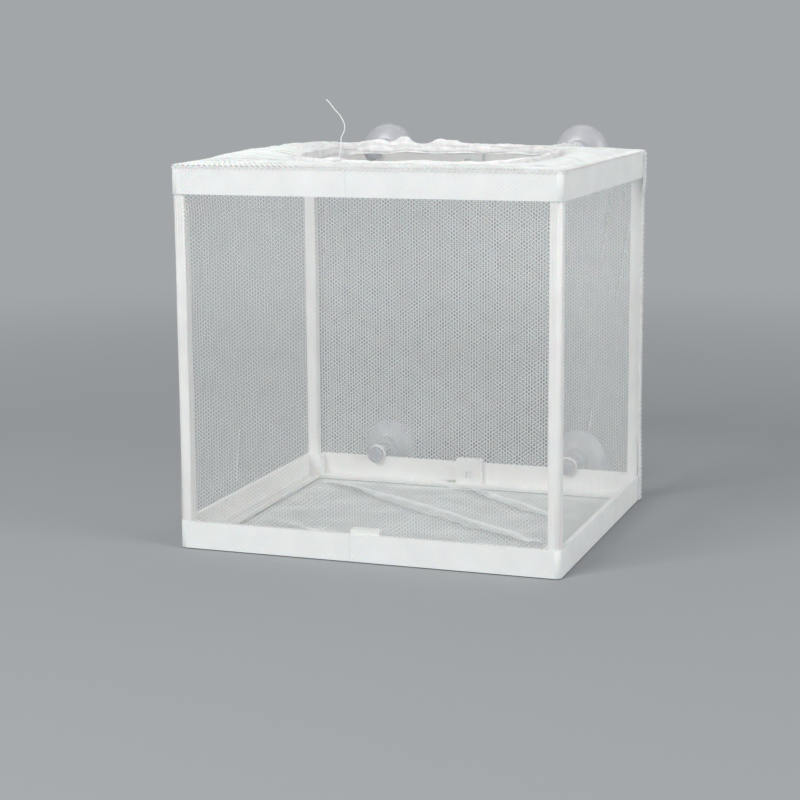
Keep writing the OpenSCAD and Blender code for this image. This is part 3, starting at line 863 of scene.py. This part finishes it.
def net_skirt():
    """The bag's top: net gathered from the frame's edge to the elastic of the mouth."""
    cup_low, cup_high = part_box("suction_cup_top_right")
    cup_x = (cup_low[0] + cup_high[0]) / 2
    lug_rise = cup_high[2] - LUG_BELOW_RIM - WALL_TOP + OVER_LUG
    off_edge = 0.3 * MM

    # Shares of the way in, where the net is off the edge, the gathers are full, the swell is full and
    # sinks again, and a lug's lift ends, with the length of that fade
    edge_left, gathers_full, hump_full, hump_sinks, lug_ends, lug_fade = 0.05, 0.2, 0.28, 0.6, 0.24, 0.2

    def point(s, t):
        run = (s * (COLUMNS + 2) - 1) * PITCH_ACROSS
        edge = outline_place(run, 0.5 * NET_T)[0]
        edge.z = WALL_TOP
        t = t * (1 + SKIRT_EDGE) - SKIRT_EDGE
        if t < 0:
            edge.z += TURNED_DOWN * t / SKIRT_EDGE
            return edge
        mouth = mouth_beside(edge, TUCKED_IN)
        at_rear = edge.y > 0.9 * HALF_D
        over_lug = math.exp(-(((abs(edge.x) - cup_x) / LUG_REACH) ** 4)) if at_rear else 0.0
        steep = LUG_STEEP * over_lug
        across = max(0.0, (t - steep) / (1 - steep))
        place = edge.lerp(mouth, across)
        front = smooth_step((-edge.y / HALF_D - 0.7) / 0.3)
        hump = smooth_step(t / hump_full) * (1 - smooth_step((t - hump_sinks) / (1 - hump_sinks)))
        gathers = (0.2 + 0.7 * t) * skirt_gathers(edge, t)
        creases = (0.35 + 0.5 * front) * skirt_creases(edge, t) * hump
        height = WALL_TOP + off_edge * smooth_step(t / edge_left)
        swell = (skirt_swell(edge) + skirt_puff(place)) * hump
        height += (hem_line(mouth) - height) * smooth_step(t) + swell
        height += MM * smooth_step(t / gathers_full) * (gathers + creases)
        lug = smooth_step(t / LUG_STEEP) * (1 - smooth_step((t - lug_ends) / lug_fade)) * over_lug
        place.z = max(height, WALL_TOP + lug_rise * lug)
        return place

    guide = cloth_guide("gathered_top_net", 3 * (COLUMNS + 2), 66, point)
    length = SKIRT_ROWS * ROW_STEP
    net = knit(guide, SLACK_CELL, COLUMNS, SKIRT_ROWS - 1, (COLUMNS + 2) * PITCH_ACROSS, length)
    part_round_stems(net)
    declare_net(net, "top_skirt", PERIMETER, ["top_ring_right_half"])


net_skirt()


# Where the lengthwise folds of the casing lie, as angles in radians round its section from the outer
# side over the top, with their width as an angle and their depth
HEM_FOLDS = [0.55, 1.1, 2.2, 2.75, 3.5, 4.1]
HEM_FOLD_W = 0.16
HEM_FOLD_DEEP = 0.4 * MM


def hem():
    """The gathered casing round the mouth: a puckered band of folded net over the elastic."""
    steps, corners = 720, 40
    pucker_size, frill_size, fold_size = 2.6 * MM, 6.5 * MM, 16 * MM
    flat_side, flat_top = 0.4, 0.65
    points = []
    for k in range(steps):
        angle = 2 * math.pi * k / steps
        seam = mouth_place(angle, HEM_W / 2)
        pucker = noise.noise(seam / pucker_size)
        frill = noise.noise(seam / frill_size + Vector((3, 1, 2)))
        puff = hem_puff(seam)
        folds = [turn + 0.5 * noise.noise(seam / fold_size + Vector((turn, 0, 0))) for turn in HEM_FOLDS]
        for j in range(corners):
            turn = 2 * math.pi * j / corners
            out, up = math.cos(turn), math.sin(turn)
            fold = sum(math.exp(-(((turn - at) / HEM_FOLD_W) ** 2)) for at in folds)
            wide = HEM_W / 2 * (abs(out) ** flat_side) * (1 + 0.12 * pucker) - HEM_FOLD_DEEP * fold * abs(out)
            tall = (HEM_TOP + puff * up if up > 0 else HEM_DROP) * (abs(up) ** flat_top)
            tall *= 1 + 0.1 * pucker + 0.25 * max(frill, 0) * max(up, 0)
            place = mouth_place(angle, HEM_W / 2 - math.copysign(wide, out))
            place.z = hem_line(seam) + math.copysign(tall, up)
            points.append(place)
    faces = grid_faces(steps, corners, closed_rows=True, closed_columns=True)
    casing = mesh_piece("gathered_hem", points, [face[::-1] for face in faces], HEM_CLOTH)
    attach(casing, "box")
    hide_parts("mouth_hem")


hem()


# Stitches -----------------------------------------------------------------

# Thickness of the sewing thread in a stitch
STITCH_T = 0.32 * MM


def stitch_loop():
    """One stitch: a short plump arch of thread that dives into the cloth at both ends."""
    length, height, thin_end, rings, sides = 1.5 * MM, 0.25 * MM, 0.35, 7, 6
    points = []
    for r in range(rings):
        share = r / (rings - 1)
        x = (share - 0.5) * length
        arch = math.sin(math.pi * share)
        radius = STITCH_T / 2 * (thin_end + (1 - thin_end) * arch**0.5)
        for k in range(sides):
            turn = 2 * math.pi * k / sides
            points.append((x, radius * math.cos(turn), height * arch + radius * math.sin(turn)))
    faces = grid_faces(rings, sides, closed_columns=True)
    faces += [tuple(range(sides)), tuple(range((rings - 1) * sides, rings * sides))[::-1]]
    return mesh_piece("stitch_loop", points, [face[::-1] for face in faces], THREAD)


def stitch_tree():
    """Geometry Nodes: sets stitches along a line, each upright on the cloth."""
    tree = bpy.data.node_groups.new("row_of_stitches", "GeometryNodeTree")
    given = named_inputs(
        tree,
        [
            ("Line", "Geometry", None),
            ("Stitch", "Object", None),
            ("Spacing", "Float", 2 * MM),
            ("Thread", "Material", None),
        ],
        "Stitches",
    )
    curve = add(tree, "GeometryNodeMeshToCurve", {"Mesh": given["Line"]})
    even = add(tree, "GeometryNodeResampleCurve", {"Curve": curve.outputs[0]}, mode="LENGTH")
    tree.links.new(given["Spacing"], even.inputs["Length"])
    tangent = add(tree, "GeometryNodeInputTangent").outputs[0]
    face = add(tree, "GeometryNodeInputNamedAttribute", {"Name": "face"}, data_type="FLOAT_VECTOR")
    axes = {"Primary Axis": face.outputs[0], "Secondary Axis": tangent}
    turned = add(tree, "FunctionNodeAxesToRotation", axes, primary_axis="Z", secondary_axis="X")
    stitch = add(tree, "GeometryNodeObjectInfo", {"Object": given["Stitch"]})
    shape = stitch.outputs["Geometry"]
    spread = {"Points": even.outputs[0], "Instance": shape, "Rotation": turned.outputs[0]}
    row = add(tree, "GeometryNodeInstanceOnPoints", spread)
    return finish_tree(tree, row.outputs[0], given["Thread"])


STITCH = stitch_loop()
STITCH_TREE = stitch_tree()


def stitch_row(name, line, facings, spacing, closed=False):
    """A row of stitches along a line of points, each with the way that the cloth faces there."""
    mesh = bpy.data.meshes.new(name)
    last = len(line)
    edges = [(k, (k + 1) % last) for k in range(last if closed else last - 1)]
    mesh.from_pydata(line, edges, [])
    face = mesh.attributes.new("face", "FLOAT_VECTOR", "POINT")
    face.data.foreach_set("vector", [x for facing in facings for x in facing])
    row = link(bpy.data.objects.new(name, mesh))
    return build(row, STITCH_TREE, {"Stitch": STITCH, "Spacing": spacing, "Thread": THREAD})


def hem_stitches():
    """The lockstitch that closes the casing, along the upper outer edge of the hem."""
    steps, out_share, above_line, spacing = 360, 0.86, 1.45 * MM, 2.4 * MM
    upward = Vector((0, 0, 1.2))
    line, facings = [], []
    for k in range(steps):
        angle = 2 * math.pi * k / steps
        place, inner = mouth_place(angle, 0.0), mouth_place(angle, HEM_W)
        seam = mouth_place(angle, HEM_W / 2)
        facing = (place - inner).normalized() + upward
        place = seam + (place - seam) * out_share
        place.z = hem_line(seam) + above_line
        line.append(place)
        facings.append(facing.normalized())
    row = stitch_row("hem_stitches", line, facings, spacing, closed=True)
    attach(row, "box")
    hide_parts("hem_thread")


hem_stitches()


def side_seam():
    """The join of the bag's two ends: a felled strip up the right wall, beside its rear corner."""
    low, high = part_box("side_seam")
    width, tall = high[1] - low[1], high[2] - low[2]
    columns, rows, steps = 12, 300, 60
    thick = (high[0] - low[0]) - STITCH_T / 2
    sway_far, sway_size, pucker_far, pucker_size = 0.35 * MM, 17 * MM, 0.14 * MM, 1.5 * MM
    edge_pad, end_gap, cloth_in, thread_in, spacing = 0.7 * MM, 0.006, 0.15 * MM, 0.1 * MM, 2.0 * MM
    cloth_t = 0.2 * MM

    def face(height, share):
        """The strip's outer face at a height, share of the way across it from front to rear."""
        sway = sway_far * noise.noise(Vector((0, 0, height)) / sway_size)
        y = low[1] + sway + share * width
        pucker = pucker_far * noise.noise(Vector((y, 0, height)) / pucker_size)
        puff = math.sin(math.pi * min(max(share, 0.0), 1.0)) ** 0.4
        from_corner = HALF_D - y
        return Vector((HALF_W - waist(height, from_corner) + puff * (thick + pucker), y, height))

    points = []
    for r in range(rows + 1):
        height = low[2] + tall * r / rows
        points += [face(height, c / columns) - Vector((cloth_in, 0, 0)) for c in range(columns + 1)]
    strip = mesh_piece("side_seam_fold", points, grid_faces(rows + 1, columns + 1), HEM_CLOTH)
    solid = strip.modifiers.new("thickness", "SOLIDIFY")
    solid.thickness = cloth_t
    solid.offset = -1
    bake_modifiers(strip)
    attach(strip, "box")
    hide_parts("side_seam")
    heights = [low[2] + tall * (end_gap + (1 - 2 * end_gap) * k / steps) for k in range(steps + 1)]
    facings = [Vector((1, 0, 0))] * len(heights)
    for side, place in (("front", edge_pad), ("rear", width - edge_pad)):
        line = [face(height, place / width) - Vector((thread_in, 0, 0)) for height in heights]
        row = stitch_row(f"side_seam_{side}_stitches", line, facings, spacing)
        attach(row, "box")


side_seam()


# Suction cups -------------------------------------------------------------

def arc(centre, radius, start, end, steps):
    """Points on an arc of a profile, with angles in degrees, as (distance from the axis, along it)."""
    turns = [math.radians(start + (end - start) * k / steps) for k in range(steps + 1)]
    return [(centre[0] + radius * math.cos(t), centre[1] + radius * math.sin(t)) for t in turns]


def cup_profile():
    """Half section of a cup in millimetres, from the tip of its head to the middle of its bell.

    Each point is its distance from the axis, and its place along the axis from the rim's plane.
    """
    rim_y, crown_y, rim_r, boss_r, stem_r, neck_r, head_r = 0, -8, 12.5, 5.5, 3.2, 2.2, 3.6
    head_tip, head_foot, stem_foot, boss_foot = -25.1, -21.7, -18.7, -11
    crown_r, crown_wall, inner_up, ring = 1.5, 1.9, 0.4, 0.9
    tip_r, tip_round, head_round, neck_round, stem_round, boss_round = 1.2, 1.4, 0.5, 0.3, 0.4, 0.6
    lip, lip_face, lip_step = 0.35, 0.6, 0.05

    def bell_y(r, deep):
        return rim_y - lip - deep * math.sqrt(max(0.0, 1 - ((r - crown_r) / (rim_r - crown_r)) ** 2))

    outer_r = [boss_r + (rim_r - lip - boss_r) * k / 14 for k in range(15)]
    inner_r = [rim_r - ring - ring * k for k in range(13)]
    outer = [(r, bell_y(r, rim_y - crown_y - lip)) for r in outer_r]
    inner = [(r, bell_y(r, rim_y - crown_y - crown_wall) + inner_up) for r in inner_r]
    return (
        [(0, head_tip), (tip_r, head_tip)]
        + arc((head_r - tip_round, head_tip + tip_round), tip_round, -75, 0, 5)
        + arc((head_r - head_round, head_foot - head_round), head_round, 0, 90, 3)
        + arc((neck_r + neck_round, head_foot + neck_round), neck_round, 270, 180, 3)
        + [(neck_r, stem_foot)]
        + arc((stem_r - stem_round, stem_foot + stem_round), stem_round, 270, 360, 3)
        + arc((stem_r + boss_round, boss_foot - boss_round), boss_round, 180, 90, 3)
        + arc((boss_r - boss_round, boss_foot + boss_round), boss_round, 270, 360, 4)
        + outer
        + arc((rim_r - lip, rim_y - lip), lip, -30, 90, 4)
        + [(rim_r - lip_face, rim_y - lip_step)]
        + inner
        + [(0, inner[-1][1])]
    )


def suction_cup(side):
    """A clear cup on its stem, which points to the rear."""
    low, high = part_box(f"suction_cup_{side}")
    x, rim_y, z = (low[0] + high[0]) / 2, high[1], (low[2] + high[2]) / 2
    profile = cup_profile()
    around = 72
    rings = len(profile) - 2
    points = [(x, rim_y + profile[0][1] * MM, z)]
    for r, along in profile[1:-1]:
        for k in range(around):
            turn = 2 * math.pi * k / around
            points.append((x + r * MM * math.cos(turn), rim_y + along * MM, z + r * MM * math.sin(turn)))
    points.append((x, rim_y + profile[-1][1] * MM, z))
    last = len(points) - 1
    faces = [tuple(1 + i for i in face) for face in grid_faces(rings, around, closed_columns=True)]
    faces += [(0, 1 + (k + 1) % around, 1 + k) for k in range(around)]
    end = 1 + (rings - 1) * around
    faces += [(last, end + k, end + (k + 1) % around) for k in range(around)]
    cup = mesh_piece(f"clear_cup_{side}", points, faces, VINYL)
    shell = bmesh.new()
    shell.from_mesh(cup.data)
    bmesh.ops.recalc_face_normals(shell, faces=shell.faces)
    shell.to_mesh(cup.data)
    shell.free()
    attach(cup, f"cup_{side}")
    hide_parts(f"suction_cup_{side}")


for side in CUP_SIDES:
    suction_cup(side)


# Frame --------------------------------------------------------------------

def soften(node, width):
    """Rounds a moulded part's edges without touching its mesh."""
    weld = node.modifiers.new("join", "WELD")
    weld.merge_threshold = TOUCHING
    bevel = node.modifiers.new("moulded_edges", "BEVEL")
    bevel.width = width
    bevel.segments = 2
    bevel.limit_method = "ANGLE"
    bevel.angle_limit = math.radians(40)
    bevel.harden_normals = True


def paint_frame():
    """Gives the moulded parts and the elastic, which stay CAD nodes, their materials."""
    for name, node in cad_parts.items():
        if "ring" in name or "post" in name:
            node.data.materials.clear()
            node.data.materials.append(PLASTIC)
            soften(node, 0.3 * MM)
        elif name == "mouth_elastic":
            node.data.materials.clear()
            node.data.materials.append(ELASTIC)


paint_frame()


# Stage --------------------------------------------------------------------

BACKDROP = "A3A6A9"
SKY = "F2F3F4"
SKY_STRENGTH = 0.38

# Half the floor's width, and how far out it starts to fade and is gone, in metres
FLOOR_REACH = 5.0
FADE_FROM, FADE_TO = 0.25, 0.9


def studio_floor():
    """A plain pale floor that fades into a surround of the same colour."""
    made, tree, shader, place = material("pale_studio_floor", Roughness=0.9)
    shader.inputs["Base Color"].default_value = srgb(BACKDROP)
    out = tree.nodes["Material Output"]
    far = add(tree, "ShaderNodeVectorMath", {0: place}, operation="LENGTH")
    reach = {"Value": far.outputs["Value"], "From Min": FADE_FROM, "From Max": FADE_TO}
    fade = add(tree, "ShaderNodeMapRange", reach, interpolation_type="SMOOTHSTEP")
    plain = add(tree, "ShaderNodeEmission", {"Color": srgb(BACKDROP)})
    mix = {0: fade.outputs["Result"], 1: shader.outputs[0], 2: plain.outputs[0]}
    both = add(tree, "ShaderNodeMixShader", mix)
    tree.links.new(both.outputs[0], out.inputs["Surface"])
    corners = [(x * FLOOR_REACH, y * FLOOR_REACH, 0) for x, y in ((-1, -1), (1, -1), (1, 1), (-1, 1))]
    mesh_piece("studio_floor", corners, [(0, 1, 2, 3)], made)


def studio_surround():
    """An even light from all sides, of which straight and reflected views show the backdrop's colour."""
    world = bpy.data.worlds.new("studio")
    bpy.context.scene.world = world
    world.use_nodes = True
    tree = world.node_tree
    light = tree.nodes["Background"]
    light.inputs["Color"].default_value = srgb(SKY)
    light.inputs["Strength"].default_value = SKY_STRENGTH
    seen = add(tree, "ShaderNodeBackground", {"Color": srgb(BACKDROP)})
    path = add(tree, "ShaderNodeLightPath").outputs
    seeing = path["Is Camera Ray"]
    for ray in ("Is Glossy Ray", "Is Transmission Ray"):
        seeing = add(tree, "ShaderNodeMath", {0: seeing, 1: path[ray]}, operation="MAXIMUM").outputs[0]
    both = add(tree, "ShaderNodeMixShader", {0: seeing, 1: light.outputs[0], 2: seen.outputs[0]})
    tree.links.new(both.outputs[0], tree.nodes["World Output"].inputs["Surface"])


def area_light(name, place, size, power):
    """A soft box, which gives this many watts and faces the middle of the object."""
    data = bpy.data.lights.new(name, "AREA")
    data.shape = "RECTANGLE"
    data.size, data.size_y = size
    data.energy = power
    lamp = link(bpy.data.objects.new(name, data))
    lamp.location = place
    lamp.rotation_euler = (Vector((0, 0, 0.08)) - lamp.location).to_track_quat("-Z", "Y").to_euler()


studio_floor()
studio_surround()
area_light("key_softbox", (-0.55, -1.2, 0.9), (0.7, 0.7), 15)
area_light("right_softbox", (1.3, -0.4, 0.6), (0.7, 0.9), 8.5)
area_light("overhead_softbox", (-0.2, 0.5, 1.4), (0.8, 0.6), 2)
bpy.context.scene.view_settings.view_transform = "Standard"

# The single cells and stitch are only patterns, so they go
for pattern in (TAUT_CELL, LOOSE_CELL, SLACK_CELL, STITCH):
    bpy.data.objects.remove(pattern)
